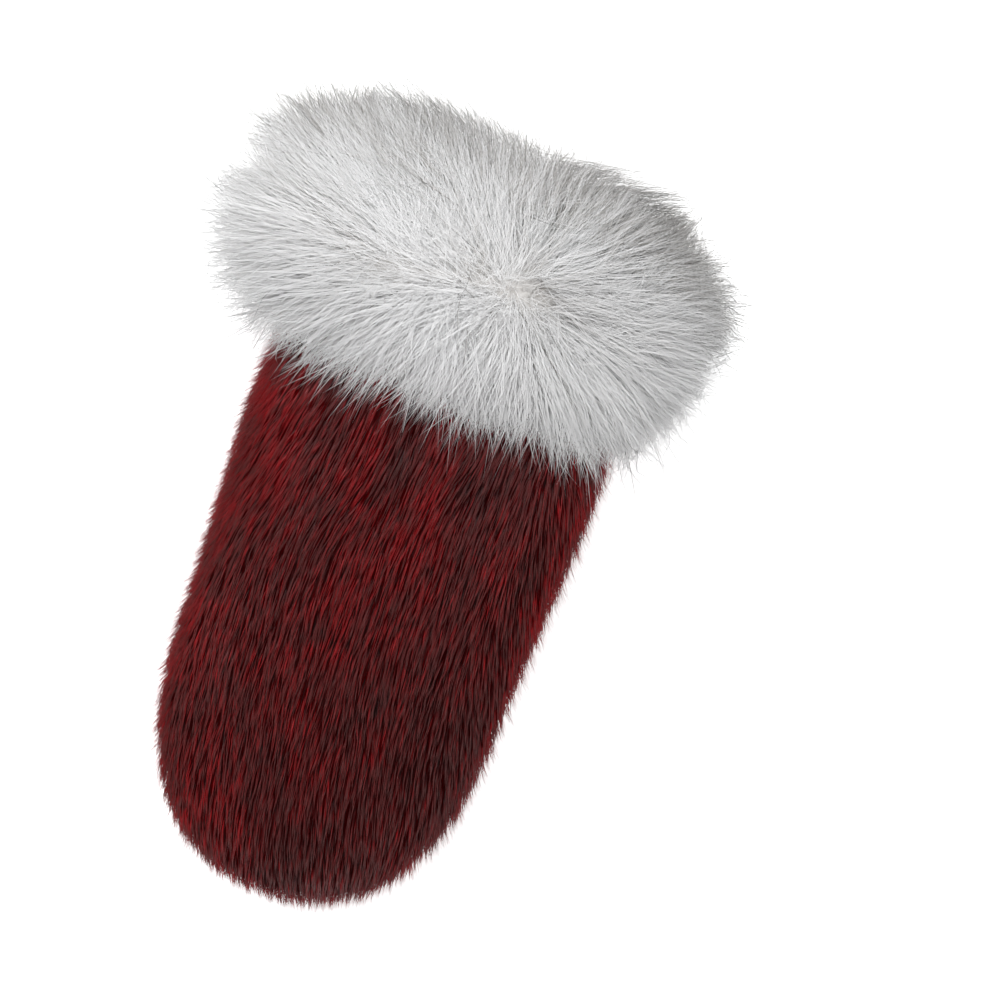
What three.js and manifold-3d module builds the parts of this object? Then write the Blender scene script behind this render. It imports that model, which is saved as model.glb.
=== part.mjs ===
import * as THREE from 'three';
import { mergeVertices } from 'three/addons/utils/BufferGeometryUtils.js';
import Module from 'manifold-3d';

// A right-hand fur mitten that lies palm down, in millimetres. +Y runs from the closed tip to the wrist,
// +X is the thumb side and the surface it lies on is z = 0.

// Driving dimensions
const PELT = 3.5;             // wall of the hand: leather with its short lying hair
const GAP = 0.3;              // clearance between neighbouring pieces
const TIP_START_Y = -62;      // where the round end of the hand begins
const TIP_LENGTH = 83.5;      // from there to the tip
const HAND_END_Y = 64;        // seam between the hand and the cuff
const WRIST_END_Y = 126;      // rim of the wrist opening
const SECTION_POWER = 2.4;    // 2 is an ellipse, more is boxier
const TIP_PLAN_POWER = 2.25;  // roundness of the tip seen from above
const TIP_SIDE_POWER = 3.2;   // roundness of the tip seen from the side
const PANEL_STEPS = 14;       // facets across one panel of the hand
const WRIST_SIDES = 28;       // facets round the wrist

// Sections of the hand and wrist: half width, height of the left and right side seam, of the crown and of
// the underside. The underside is cut off at the floor, which makes it flat where it rests.
const HAND_SECTIONS = [
  { y: -145.5, half: 63, left: 11, right: 11, crown: 29, sole: -1.5 },
  { y: -100, half: 63, left: 12, right: 13, crown: 34, sole: -1.5 },
  { y: -62, half: 63.1, left: 14, right: 22, crown: 41, sole: -1.5 },
  { y: -20, half: 64.5, left: 15, right: 31, crown: 48, sole: -1.5 },
  { y: 20, half: 67.2, left: 17, right: 32, crown: 52, sole: -1.5 },
  { y: 45, half: 66.5, left: 21, right: 28, crown: 53, sole: -1.5 },
  { y: 64, half: 64.5, left: 26, right: 28, crown: 52, sole: 4 },
  { y: 95, half: 62, left: 30, right: 30, crown: 51, sole: 10 },
  { y: 126, half: 61, left: 31, right: 31, crown: 50, sole: 12 },
];

// The palm arches over the folded thumb.
const ARCH = { height: 23, fadeFromX: -32, fullAtX: -8, startY: -88, fullY: -62, releaseY: 24, endY: 41 };

// The thumb is a flattened tube from its root inside the hand, where it rises off the floor, to its round
// tip. Its section is sunk a little into the floor and cut off there, which makes it flat below.
const THUMB = {
  rootX: 31, rootY: 48, tipX: 13, tipY: -68, rootHalf: 21, halfWidth: 25, height: 20, sunk: 1,
  roundLength: 26, sectionPower: 2.5, tipPower: 2.1, rootRise: 5.5, riseLength: 44, sides: 16,
};

// The cuff: a band of dense underfur round the wrist, and long locks that part at one point on the top and
// reach from there to the outer form, a rounded block that is flat below where it rests.
const CUFF = {
  middleY: 95, underfurSide: 20, underfurTop: 12, underfurBelow: 13, partingX: 13, partingY: 95,
};
const OUTER_FORM = {
  centreY: 96, centreZ: 36, reachX: 103, reachY: 53, top: 44, below: 38, planPower: 3, sidePower: 2.8,
};

// Each lock is rooted in the band, stands off it and sweeps away from the parting. None is rooted where the
// band rests on the floor. Lean and sweep weigh the directions across and along the hand.
const LOCKS = {
  rows: 5, inRow: 17, firstY: 69, lastY: 123, lowestRoot: 3, sunk: 5, lift: 20, sweep: 40, leanAcross: 0.7,
  leanAlong: 0.8, sweepAlong: 2.6, bendLift: 16, bendShare: 0.35, halfWidth: 14, halfThickness: 6.5, sides: 5,
};
const LOCK_TAPER = [
  { at: 0, size: 0.75 },
  { at: 0.4, size: 1 },
  { at: 0.75, size: 0.62 },
  { at: 1, size: 0 },
];

const wasm = await Module();
wasm.setup();

// A row of the section table at any place along the hand.
const sectionColumns = ['half', 'left', 'right', 'crown', 'sole'];
const sectionCurve = new THREE.CubicInterpolant(
  HAND_SECTIONS.map((row) => row.y),
  HAND_SECTIONS.flatMap((row) => sectionColumns.map((column) => row[column])),
  sectionColumns.length,
);

function sectionAt(y) {
  const values = Array.from(sectionCurve.evaluate(y));
  return Object.fromEntries(sectionColumns.map((column, index) => [column, values[index]]));
}

function superRound(share, power) {
  return Math.pow(Math.max(0, 1 - Math.pow(share, power)), 1 / power);
}

// x and z of a unit superellipse at an angle from the +X side.
function superPoint(angle, power) {
  const cos = Math.cos(angle);
  const sin = Math.sin(angle);
  return {
    x: Math.sign(cos) * Math.pow(Math.abs(cos), 2 / power),
    z: Math.sign(sin) * Math.pow(Math.abs(sin), 2 / power),
  };
}

function archAt(x, y) {
  const { smoothstep } = THREE.MathUtils;
  const across = smoothstep(x, ARCH.fadeFromX, ARCH.fullAtX);
  const along = smoothstep(y, ARCH.startY, ARCH.fullY) * (1 - smoothstep(y, ARCH.releaseY, ARCH.endY));
  return ARCH.height * across * along;
}

// One ring of the hand at y, its surface moved inwards by inset. The angles run from the right seam over
// the crown (0 to PI) or under the palm (PI to 2 PI), and split moves it off the seam.
function handRing(y, inset, angles, split = 0) {
  const row = sectionAt(THREE.MathUtils.clamp(y, HAND_SECTIONS[0].y, WRIST_END_Y));
  const share = Math.max(0, (TIP_START_Y - y) / (TIP_LENGTH - inset));
  const narrowed = superRound(share, TIP_PLAN_POWER);
  const round = superRound(share, TIP_SIDE_POWER);
  return angles.map((angle) => {
    const unit = superPoint(angle, SECTION_POWER);
    const x = unit.x * (row.half - inset) * narrowed;
    const seam = THREE.MathUtils.lerp(row.left, row.right, (unit.x * narrowed + 1) / 2);
    const sole = row.sole + archAt(x, y);
    const reach = unit.z > 0 ? row.crown - inset - seam : seam - sole - inset;
    const z = seam + Math.sign(unit.z) * Math.abs(unit.z) * reach * round;
    return new THREE.Vector3(x, y, Math.max(z + split, inset));
  });
}

// Places along the hand: close together round the tip, then the given places up to endY.
function handStations(inset, endY) {
  const roundAngles = [90, 80, 69, 58, 46, 34, 22, 10];
  const tip = roundAngles.map((degrees) =>
    TIP_START_Y - (TIP_LENGTH - inset) * Math.sin(THREE.MathUtils.degToRad(degrees)));
  const straight = [-62, -50, -28, -4, 18, 28, 35, 42, 52].filter((y) => y < endY - 4);
  return [...tip, ...straight, endY];
}

function arc(from, to, steps) {
  return Array.from({ length: steps + 1 }, (_, index) => from + (to - from) * index / steps);
}

// Triangles from a list of corners, merged, without the flat ones at the poles, facing outwards.
function meshFrom(corners) {
  const raw = new THREE.BufferGeometry().setFromPoints(corners);
  const merged = mergeVertices(raw, 1e-3);
  const place = merged.getAttribute('position');
  const order = merged.getIndex().array;
  const kept = [];
  for (let i = 0; i < order.length; i += 3) {
    const [a, b, c] = [order[i], order[i + 1], order[i + 2]];
    if (a !== b && b !== c && a !== c) kept.push(a, b, c);
  }
  const [p, q, r] = [new THREE.Vector3(), new THREE.Vector3(), new THREE.Vector3()];
  let volume = 0;
  for (let i = 0; i < kept.length; i += 3) {
    p.fromBufferAttribute(place, kept[i]);
    q.fromBufferAttribute(place, kept[i + 1]);
    r.fromBufferAttribute(place, kept[i + 2]);
    volume += p.dot(q.cross(r));
  }
  if (volume < 0) kept.reverse();
  merged.setIndex(kept);
  return merged;
}

// A wall between outer and inner rings. Rings that wrap make a tube, the others a panel with side edges.
function wall(outer, inner, wraps) {
  const corners = [];
  const quad = (a, b, c, d) => corners.push(a, b, c, a, c, d);
  const count = outer[0].length;
  const spans = wraps ? count : count - 1;
  const last = outer.length - 1;
  for (let j = 0; j < spans; j += 1) {
    const k = (j + 1) % count;
    for (let i = 0; i < last; i += 1) {
      quad(outer[i][j], outer[i][k], outer[i + 1][k], outer[i + 1][j]);
      quad(inner[i][k], inner[i][j], inner[i + 1][j], inner[i + 1][k]);
    }
    quad(outer[last][j], outer[last][k], inner[last][k], inner[last][j]);
    quad(outer[0][k], outer[0][j], inner[0][j], inner[0][k]);
  }
  if (!wraps) {
    for (let i = 0; i < last; i += 1) {
      quad(outer[i][0], outer[i + 1][0], inner[i + 1][0], inner[i][0]);
      quad(outer[i + 1][count - 1], outer[i][count - 1], inner[i][count - 1], inner[i + 1][count - 1]);
    }
  }
  return meshFrom(corners);
}

// A filled body through closed rings, with a fan at each end.
function filled(rings) {
  const corners = [];
  const count = rings[0].length;
  const last = rings.length - 1;
  const middle = (ring) => ring
    .reduce((sum, point) => sum.add(point), new THREE.Vector3())
    .divideScalar(count);
  const start = middle(rings[0]);
  const end = middle(rings[last]);
  for (let j = 0; j < count; j += 1) {
    const k = (j + 1) % count;
    for (let i = 0; i < last; i += 1) {
      corners.push(rings[i][j], rings[i][k], rings[i + 1][k]);
      corners.push(rings[i][j], rings[i + 1][k], rings[i + 1][j]);
    }
    corners.push(start, rings[0][k], rings[0][j]);
    corners.push(end, rings[last][j], rings[last][k]);
  }
  return meshFrom(corners);
}

function toSolid(geometry) {
  const merged = geometry.clone();
  merged.deleteAttribute('normal');
  merged.deleteAttribute('uv');
  const joined = mergeVertices(merged, 1e-3);
  const vertProperties = new Float32Array(joined.getAttribute('position').array);
  const triVerts = new Uint32Array(joined.getIndex().array);
  return new wasm.Manifold(new wasm.Mesh({ numProp: 3, vertProperties, triVerts }));
}

function fromSolid(solid) {
  const cut = solid.getMesh();
  const geometry = new THREE.BufferGeometry();
  geometry.setAttribute('position', new THREE.BufferAttribute(new Float32Array(cut.vertProperties), 3));
  geometry.setIndex(Array.from(cut.triVerts));
  return geometry;
}

function pelt(name, geometry, colour, roughness) {
  geometry.computeVertexNormals();
  const finish = new THREE.MeshStandardMaterial({ color: colour, roughness, metalness: 0 });
  const mesh = new THREE.Mesh(geometry, finish);
  mesh.name = name;
  return mesh;
}

// Thumb: rings along its leaning centre line, flat below where it lies on the surface.
function thumbRings(inset) {
  const root = new THREE.Vector2(THUMB.rootX, THUMB.rootY);
  const tip = new THREE.Vector2(THUMB.tipX, THUMB.tipY);
  const length = root.distanceTo(tip);
  const along = tip.clone().sub(root).normalize();
  const across = new THREE.Vector2(-along.y, along.x);
  const roundStart = length - THUMB.roundLength;
  const straight = [0, 12, 25, 40, 62].filter((distance) => distance < roundStart);
  const round = [0, 22, 42, 60, 76, 90].map((degrees) =>
    roundStart + (THUMB.roundLength - inset) * Math.sin(THREE.MathUtils.degToRad(degrees)));
  const sides = arc(0, 2 * Math.PI, THUMB.sides).slice(0, -1);
  const settled = (distance) => THREE.MathUtils.smoothstep(distance, 0, THUMB.riseLength);
  return [...straight, ...round].map((distance) => {
    const share = Math.max(0, (distance - roundStart) / (THUMB.roundLength - inset));
    const size = superRound(share, THUMB.tipPower);
    const half = THREE.MathUtils.lerp(THUMB.rootHalf, THUMB.halfWidth, settled(distance));
    const rise = THUMB.rootRise * (1 - settled(distance));
    const centre = root.clone().addScaledVector(along, distance);
    return sides.map((angle) => {
      const unit = superPoint(angle, THUMB.sectionPower);
      const side = unit.x * (half - inset) * size;
      const z = THUMB.height / 2 - THUMB.sunk + unit.z * (THUMB.height / 2 + THUMB.sunk - inset) * size;
      const place = centre.clone().addScaledVector(across, side);
      return new THREE.Vector3(place.x, place.y, Math.max(z, inset) + rise);
    });
  });
}

const thumbOuter = thumbRings(0);
const thumb = pelt('thumb', wall(thumbOuter, thumbRings(PELT), true), 0x5a1418, 0.6);

// Hand: two panels that meet along the side seams.
function handPanel(fromAngle, toAngle, split) {
  const angles = arc(fromAngle, toAngle, PANEL_STEPS);
  const outer = handStations(0, HAND_END_Y - GAP).map((y) => handRing(y, 0, angles, split));
  const inner = handStations(PELT, HAND_END_Y - GAP).map((y) => handRing(y, PELT, angles, split));
  return wall(outer, inner, false);
}

const handBack = pelt('hand_back', handPanel(0, Math.PI, GAP / 2), 0x641418, 0.55);
const thumbClearance = toSolid(filled(thumbRings(-GAP)));
const palmSolid = toSolid(handPanel(Math.PI, 2 * Math.PI, -GAP / 2)).subtract(thumbClearance);
const handPalm = pelt('hand_palm', fromSolid(palmSolid), 0x581216, 0.6);

// Cuff: the underfur band is thickest halfway along and thins to the rim of the leather at both ends.
const around = arc(0, 2 * Math.PI, WRIST_SIDES).slice(0, -1);

function bandPoint(y, angle) {
  const row = sectionAt(y);
  const unit = superPoint(angle, SECTION_POWER);
  const along = (y - CUFF.middleY) / (WRIST_END_Y - CUFF.middleY);
  const bulge = superRound(Math.abs(along), 2);
  const seam = THREE.MathUtils.lerp(row.left, row.right, (unit.x + 1) / 2);
  const above = row.crown - seam + CUFF.underfurTop * bulge;
  const below = seam - row.sole + CUFF.underfurBelow * bulge;
  return new THREE.Vector3(
    unit.x * (row.half + CUFF.underfurSide * bulge),
    y,
    seam + unit.z * (unit.z > 0 ? above : below),
  );
}

function cuffBand() {
  const places = arc(HAND_END_Y, WRIST_END_Y, 8);
  const outer = places.map((y) => around.map((angle) => bandPoint(y, angle)));
  const inner = places.map((y) => handRing(y, PELT, around));
  return wall(outer, inner, true);
}

// Moves a point on the line from the middle of the cuff through it, to the cuff's outer form.
function onOuterForm(point) {
  const form = OUTER_FORM;
  const middle = new THREE.Vector3(0, form.centreY, form.centreZ);
  const offset = point.clone().sub(middle);
  const height = offset.z > 0 ? form.top : form.below;
  const together = (a, b, power) => Math.pow(Math.abs(a) ** power + Math.abs(b) ** power, 1 / power);
  const plan = together(offset.x / form.reachX, offset.y / form.reachY, form.planPower);
  return middle.addScaledVector(offset, 1 / together(plan, offset.z / height, form.sidePower));
}

// One lock: a flattened, tapering body along a curve from its sunk root to its tip.
function lockOfFur(root, outward, tip) {
  const bend = root.clone().addScaledVector(outward, LOCKS.bendLift).lerp(tip, LOCKS.bendShare);
  const curve = new THREE.QuadraticBezierCurve3(root, bend, tip);
  const rings = LOCK_TAPER.map(({ at, size }) => {
    const centre = curve.getPoint(at);
    const along = curve.getTangent(at);
    const across = new THREE.Vector3().crossVectors(along, outward).normalize();
    const up = new THREE.Vector3().crossVectors(across, along).normalize();
    return arc(0, 2 * Math.PI, LOCKS.sides).slice(0, -1).map((angle) => centre.clone()
      .addScaledVector(across, LOCKS.halfWidth * size * Math.cos(angle))
      .addScaledVector(up, LOCKS.halfThickness * size * Math.sin(angle)));
  });
  return filled(rings);
}

// Angles round the band that lie evenly along its skin.
function evenAngles(y, count, shift) {
  const fine = arc(0, 2 * Math.PI, 180);
  const lengths = [0];
  for (let i = 1; i < fine.length; i += 1) {
    lengths.push(lengths[i - 1] + bandPoint(y, fine[i]).distanceTo(bandPoint(y, fine[i - 1])));
  }
  const whole = lengths[lengths.length - 1];
  return Array.from({ length: count }, (_, place) => {
    const wanted = whole * (place + shift) / count;
    return fine[lengths.findIndex((length) => length >= wanted)];
  });
}

function locksOfFur() {
  const locks = [];
  for (let row = 0; row < LOCKS.rows; row += 1) {
    const y = THREE.MathUtils.lerp(LOCKS.firstY, LOCKS.lastY, row / (LOCKS.rows - 1));
    for (const angle of evenAngles(y, LOCKS.inRow, 0.25 + 0.5 * (row % 2))) {
      const skin = bandPoint(y, angle);
      const lengthwise = (y - CUFF.middleY) / (WRIST_END_Y - CUFF.middleY);
      if (skin.z < LOCKS.lowestRoot) continue;
      const outward = new THREE.Vector3(
        Math.cos(angle) * LOCKS.leanAcross,
        lengthwise * LOCKS.leanAlong,
        Math.sin(angle),
      ).normalize();
      const sweep = new THREE.Vector3(
        skin.x - CUFF.partingX,
        (y - CUFF.partingY) * LOCKS.sweepAlong,
        0,
      ).normalize();
      const aim = skin.clone().addScaledVector(outward, LOCKS.lift).addScaledVector(sweep, LOCKS.sweep);
      const root = skin.clone().addScaledVector(outward, -LOCKS.sunk);
      locks.push(toSolid(lockOfFur(root, outward, onOuterForm(aim))));
    }
  }
  return locks;
}

const handRings = handStations(-GAP, HAND_END_Y + GAP).map((y) => handRing(y, -GAP, around));
const wristPlaces = [HAND_END_Y - 8, 80, 95, 110, WRIST_END_Y, WRIST_END_Y + 60];
const wristHollow = toSolid(filled(wristPlaces.map((y) => handRing(y, PELT / 2, around))));
const floorBlock = new THREE.BoxGeometry(600, 600, 60);
floorBlock.translate(0, 0, -30);
const cuffSolid = locksOfFur()
  .reduce((joined, lock) => joined.add(lock))
  .subtract(wristHollow)
  .add(toSolid(cuffBand()))
  .subtract(toSolid(filled(handRings)))
  .subtract(toSolid(floorBlock));
const furCuff = pelt('fur_cuff', fromSolid(cuffSolid), 0xd8d8da, 0.8);

// The origin is below the middle of the whole mitten, on the surface it lies on.
const group = new THREE.Group();
group.add(handBack, handPalm, thumb, furCuff);
const middle = new THREE.Box3().setFromObject(group).getCenter(new THREE.Vector3());
group.position.set(-middle.x, -middle.y, 0);

export default group;
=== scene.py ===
import math

import bpy
import numpy as np
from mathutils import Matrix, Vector
from mathutils.bvhtree import BVHTree
from mathutils.kdtree import KDTree


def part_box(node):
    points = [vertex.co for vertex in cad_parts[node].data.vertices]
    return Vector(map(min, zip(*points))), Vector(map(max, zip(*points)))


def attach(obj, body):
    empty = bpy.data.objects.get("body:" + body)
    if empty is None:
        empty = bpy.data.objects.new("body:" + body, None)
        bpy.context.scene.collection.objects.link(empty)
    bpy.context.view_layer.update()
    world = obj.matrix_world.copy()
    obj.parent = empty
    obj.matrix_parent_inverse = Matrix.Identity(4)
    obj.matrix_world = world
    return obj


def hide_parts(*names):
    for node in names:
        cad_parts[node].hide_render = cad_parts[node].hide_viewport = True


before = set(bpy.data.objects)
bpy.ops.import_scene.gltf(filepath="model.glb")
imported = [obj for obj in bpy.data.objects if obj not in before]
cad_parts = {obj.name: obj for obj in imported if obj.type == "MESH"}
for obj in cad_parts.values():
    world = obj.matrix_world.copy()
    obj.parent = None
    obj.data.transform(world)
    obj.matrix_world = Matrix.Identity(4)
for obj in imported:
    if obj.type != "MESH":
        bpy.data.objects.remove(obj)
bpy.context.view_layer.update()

# The mitten lies palm down on the floor z = 0, with +Y towards the wrist and +X on the thumb side.
MM = 0.001
bpy.ops.object.select_all(action="DESELECT")

# The floor is a wide sheet of plain white paper that glows a little, as a lit backdrop does. The light is a
# soft box overhead, behind the wrist, with a weaker one low in front of the tip.
FLOOR_WIDTH = 6.0
FLOOR_GLOW = 0.75
PAPER_GREYS = (0.86, 0.90)
ROOM_LIGHT = 0.26
SOFT_BOXES = [
    {"name": "overhead_soft_box", "place": (-0.50, 0.55, 1.60), "size": 1.1, "watts": 28.0},
    {"name": "front_soft_box", "place": (0.6, -1.4, 1.0), "size": 1.0, "watts": 9.0},
]

bpy.ops.mesh.primitive_plane_add(size=FLOOR_WIDTH, location=(0, 0, 0))
floor = bpy.context.object
floor.name = "floor_sheet"
bpy.ops.object.mode_set(mode="EDIT")
bpy.ops.mesh.subdivide(number_cuts=3)
bpy.ops.object.mode_set(mode="OBJECT")

paper = bpy.data.materials.new("white_paper")
paper.use_nodes = True
nodes = paper.node_tree.nodes
links = paper.node_tree.links
surface = nodes["Principled BSDF"]
surface.inputs["Roughness"].default_value = 0.9
surface.inputs["Specular IOR Level"].default_value = 0.1
where = nodes.new("ShaderNodeTexCoord")
fibre = nodes.new("ShaderNodeTexNoise")
fibre.inputs["Scale"].default_value = 35.0
fibre.inputs["Detail"].default_value = 3.0
shade = nodes.new("ShaderNodeValToRGB")
for stop, grey in zip(shade.color_ramp.elements, PAPER_GREYS):
    stop.color = (grey, grey, grey, 1)
links.new(where.outputs["Object"], fibre.inputs["Vector"])
links.new(fibre.outputs["Fac"], shade.inputs["Fac"])
links.new(shade.outputs["Color"], surface.inputs["Base Color"])
surface.inputs["Emission Color"].default_value = (1, 1, 1, 1)
surface.inputs["Emission Strength"].default_value = FLOOR_GLOW
floor.data.materials.append(paper)

for box in SOFT_BOXES:
    bpy.ops.object.light_add(type="AREA", location=box["place"])
    lamp = bpy.context.object
    lamp.name = box["name"]
    lamp.data.shape = "DISK"
    lamp.data.size = box["size"]
    lamp.data.energy = box["watts"]
    lamp.rotation_euler = (-Vector(box["place"])).to_track_quat("-Z", "Y").to_euler()

world = bpy.data.worlds.new("studio")
world.use_nodes = True
world.node_tree.nodes["Background"].inputs["Color"].default_value = (1.0, 1.0, 1.0, 1)
world.node_tree.nodes["Background"].inputs["Strength"].default_value = ROOM_LIGHT
bpy.context.scene.world = world
bpy.context.scene.view_settings.view_transform = "Standard"

# The camera looks straight down, turned so that the mitten leans as it does in the photograph. It stands
# over the middle of the photograph's frame, which is to the right of the hand.
LENS_MM = 110.0
SENSOR_MM = 36.0
VIEW_WIDTH = 375 * MM
VIEW_MIDDLE = (34 * MM, 23 * MM)
VIEW_PLANE_Z = 20 * MM
MITTEN_LEAN = math.radians(20.5)

bpy.ops.object.camera_add(location=(*VIEW_MIDDLE, VIEW_PLANE_Z + VIEW_WIDTH * LENS_MM / SENSOR_MM))
camera = bpy.context.object
camera.name = "camera"
camera.rotation_euler = (0, 0, MITTEN_LEAN)
camera.data.lens = LENS_MM
camera.data.sensor_width = SENSOR_MM
bpy.context.scene.camera = camera


# The hand is two panels of dyed seal pelt, the back and the palm, sewn along the sides and round the tip.
# Each is supple leather whose short hair is dyed too. The leather is made here, and its hair below.
SKIN_LEVELS = 1
SEAM_WELD = 0.02 * MM
QUAD_BEND = math.radians(50)   # two triangles make one face where they bend and slant less than this
QUAD_SLANT = math.radians(60)
PRESSED_HEIGHT = 0.9 * MM      # room that the flattened hair leaves between the leather and the floor
PRESSED_ZONE = 4 * PRESSED_HEIGHT
LEATHER_SHRINK = (0.978, 0.993, 0.985)      # the hair lies outside the leather and fills the hand's outline
wrist_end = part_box("hand_back")[1].y


def smooth_skin(node, name):
    """A smoothed copy of a panel, lifted off the floor where hair is pressed flat under it."""
    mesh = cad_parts[node].data.copy()
    mesh.materials.clear()
    skin = bpy.data.objects.new(name, mesh)
    bpy.context.collection.objects.link(skin)
    bpy.ops.object.select_all(action="DESELECT")
    skin.select_set(True)
    bpy.context.view_layer.objects.active = skin
    bpy.ops.object.mode_set(mode="EDIT")
    bpy.ops.mesh.select_all(action="SELECT")
    bpy.ops.mesh.remove_doubles(threshold=SEAM_WELD)
    bpy.ops.mesh.tris_convert_to_quads(face_threshold=QUAD_BEND, shape_threshold=QUAD_SLANT)
    bpy.ops.transform.resize(value=LEATHER_SHRINK, center_override=(0, wrist_end, 0))
    bpy.ops.object.mode_set(mode="OBJECT")
    rounding = skin.modifiers.new("rounding", "SUBSURF")
    rounding.levels = SKIN_LEVELS
    rounding.render_levels = SKIN_LEVELS
    bpy.ops.object.modifier_apply(modifier=rounding.name)
    places = np.empty(len(mesh.vertices) * 3)
    skin.data.vertices.foreach_get("co", places)
    heights = places.reshape(-1, 3)[:, 2]
    heights += PRESSED_HEIGHT * np.clip(1 - heights / PRESSED_ZONE, 0, 1)
    skin.data.vertices.foreach_set("co", places)
    skin.data.update()
    bpy.ops.object.shade_smooth()
    return skin


back_pelt = smooth_skin("hand_back", "back_pelt")
palm_pelt = smooth_skin("hand_palm", "palm_pelt")


LEATHER_ROUGHNESS = 0.75
LEATHER_SHINE = 0.1
CLOUDS_TO_STREAKS = 0.06
RELIEF_HEIGHT = 0.4 * MM


def pelt_material(name, dark, bright, scale, stretch, depth):
    """Leather with the base of its hair: fine streaks along the hand, over clouds that change the colour
    slowly. Scale and stretch are those of the streaks, and depth is how strong their relief is."""
    material = bpy.data.materials.new(name)
    material.use_nodes = True
    nodes = material.node_tree.nodes
    links = material.node_tree.links
    surface = nodes["Principled BSDF"]
    surface.inputs["Roughness"].default_value = LEATHER_ROUGHNESS
    surface.inputs["Specular IOR Level"].default_value = LEATHER_SHINE
    where = nodes.new("ShaderNodeTexCoord")
    along = nodes.new("ShaderNodeMapping")
    along.inputs["Scale"].default_value = (1.0, stretch, 1.0)
    streaks = nodes.new("ShaderNodeTexNoise")
    streaks.inputs["Scale"].default_value = scale
    streaks.inputs["Detail"].default_value = 4.0
    clouds = nodes.new("ShaderNodeTexNoise")
    clouds.inputs["Scale"].default_value = scale * CLOUDS_TO_STREAKS
    mixed = nodes.new("ShaderNodeMath")
    mixed.operation = "MULTIPLY"
    shade = nodes.new("ShaderNodeValToRGB")
    shade.color_ramp.elements[0].position = 0.15
    shade.color_ramp.elements[0].color = (*dark, 1)
    shade.color_ramp.elements[1].position = 0.42
    shade.color_ramp.elements[1].color = (*bright, 1)
    relief = nodes.new("ShaderNodeBump")
    relief.inputs["Strength"].default_value = depth
    relief.inputs["Distance"].default_value = RELIEF_HEIGHT
    links.new(where.outputs["Object"], along.inputs["Vector"])
    links.new(along.outputs["Vector"], streaks.inputs["Vector"])
    links.new(where.outputs["Object"], clouds.inputs["Vector"])
    links.new(streaks.outputs["Fac"], mixed.inputs[0])
    links.new(clouds.outputs["Fac"], mixed.inputs[1])
    links.new(mixed.outputs["Value"], shade.inputs["Fac"])
    links.new(shade.outputs["Color"], surface.inputs["Base Color"])
    links.new(streaks.outputs["Fac"], relief.inputs["Height"])
    links.new(relief.outputs["Normal"], surface.inputs["Normal"])
    return material


red_leather = pelt_material("red_leather", dark=(0.010, 0.002, 0.002), bright=(0.075, 0.006, 0.007),
                            scale=900.0, stretch=0.12, depth=0.5)
for skin, node, slot in [(back_pelt, "hand_back", "back_pelt"), (palm_pelt, "hand_palm", "palm_pelt")]:
    skin.data.materials.append(red_leather)
    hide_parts(node)
    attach(skin, "root")


# The short hair of the hand: close, glossy and about 10 mm long, it lies from the wrist to the tip and turns
# a little towards the thumb side near the tip. It gathers in streaks of two or three hairs. Longer guard hair
# with brown tips, partly a painted sheen, lies over dense straight underfur in clear red, darker as painted
# shade in the gaps. At the rims the hair is painted brighter red, standing in for light through the hair.
HAND_HAIR = {
    "back_underfur": {"skin": back_pelt, "slot": "back_pelt", "count": 28000, "rings": 2, "length": 9.0,
                      "lift": 1.5, "flare": 0.0, "base": 0.28, "width": 0.37, "thinner": 0.20,
                      "steepest": 1.0},
    "back_guard_hair": {"skin": back_pelt, "slot": "back_pelt", "count": 17500, "rings": 3, "length": 11.5,
                        "lift": 3.0, "flare": 0.0, "base": 0.55, "width": 0.34, "thinner": 0.10,
                        "steepest": 1.0},
    # the rim hair's higher base tone is painted light too
    "back_rim_hair": {"skin": back_pelt, "slot": "back_pelt", "count": 6000, "rings": 2, "length": 12.0,
                      "lift": 4.0, "flare": 0.75, "base": 0.70, "width": 0.26, "thinner": 0.1,
                      "steepest": 0.7},
    "palm_hair": {"skin": palm_pelt, "slot": "palm_pelt", "count": 16500, "rings": 2, "length": 9.5,
                  "lift": 2.0, "flare": 0.0, "base": 0.54, "width": 0.43, "thinner": 0.20,
                  "steepest": 1.0},
}
STREAK_SHARE = 0.40            # leaders among the hairs, round which the others gather
STREAK_PULL = (0.5, 0.97)      # how far a hair is drawn to its leader, 1 for all the way
STREAK_SQUEEZE = (1.0, 0.28, 1.0)      # streaks are nearly four times as long as they are wide
STREAK_BOW = 1.1 / 1000        # they bow outwards towards the tip
ROOT_GATHER = 0.35             # the share of the pull that a hair's root follows
HAIR_UNREST = 0.045
STREAK_UNREST = 0.04
LAID_DOWN = 0.65               # how much of a slope off the skin the hair doesn't follow
LENGTH_RANGE = (0.7, 1.12)
LIFT_RANGE = (0.3, 1.0)
STREAK_LIFT = 0.4
RIM_SHORTER = 0.32
RIM_LOOSER = 0.45
TIP_SHORTER = 0.35
TIP_START = 122                # mm below the middle of the mitten, from where the hair is shorter
TIP_LENGTH = 18
SIDE_FACING = 0.55             # skin that faces up or down less than this is a side
HUG = {"side": 0.25, "flat": 0.7}      # how closely hair follows the skin under its tip
ROOT_DEPTH = 0.3               # mm
FLOOR_GAP = (0.2, 0.7)         # mm, between the floor and the lowest hairs
RIM_SLOPE = 0.6
HAIR_TONE = 0.17               # how much single hairs, and whole streaks, differ in brightness
STREAK_TONE = 0.12
# hairs on the rims are painted brighter red, standing in for light that shines through the hair at the edges
RIM_PAINTED_LIGHT = 0.55
PATCH_STRENGTH = 1.35
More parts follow.
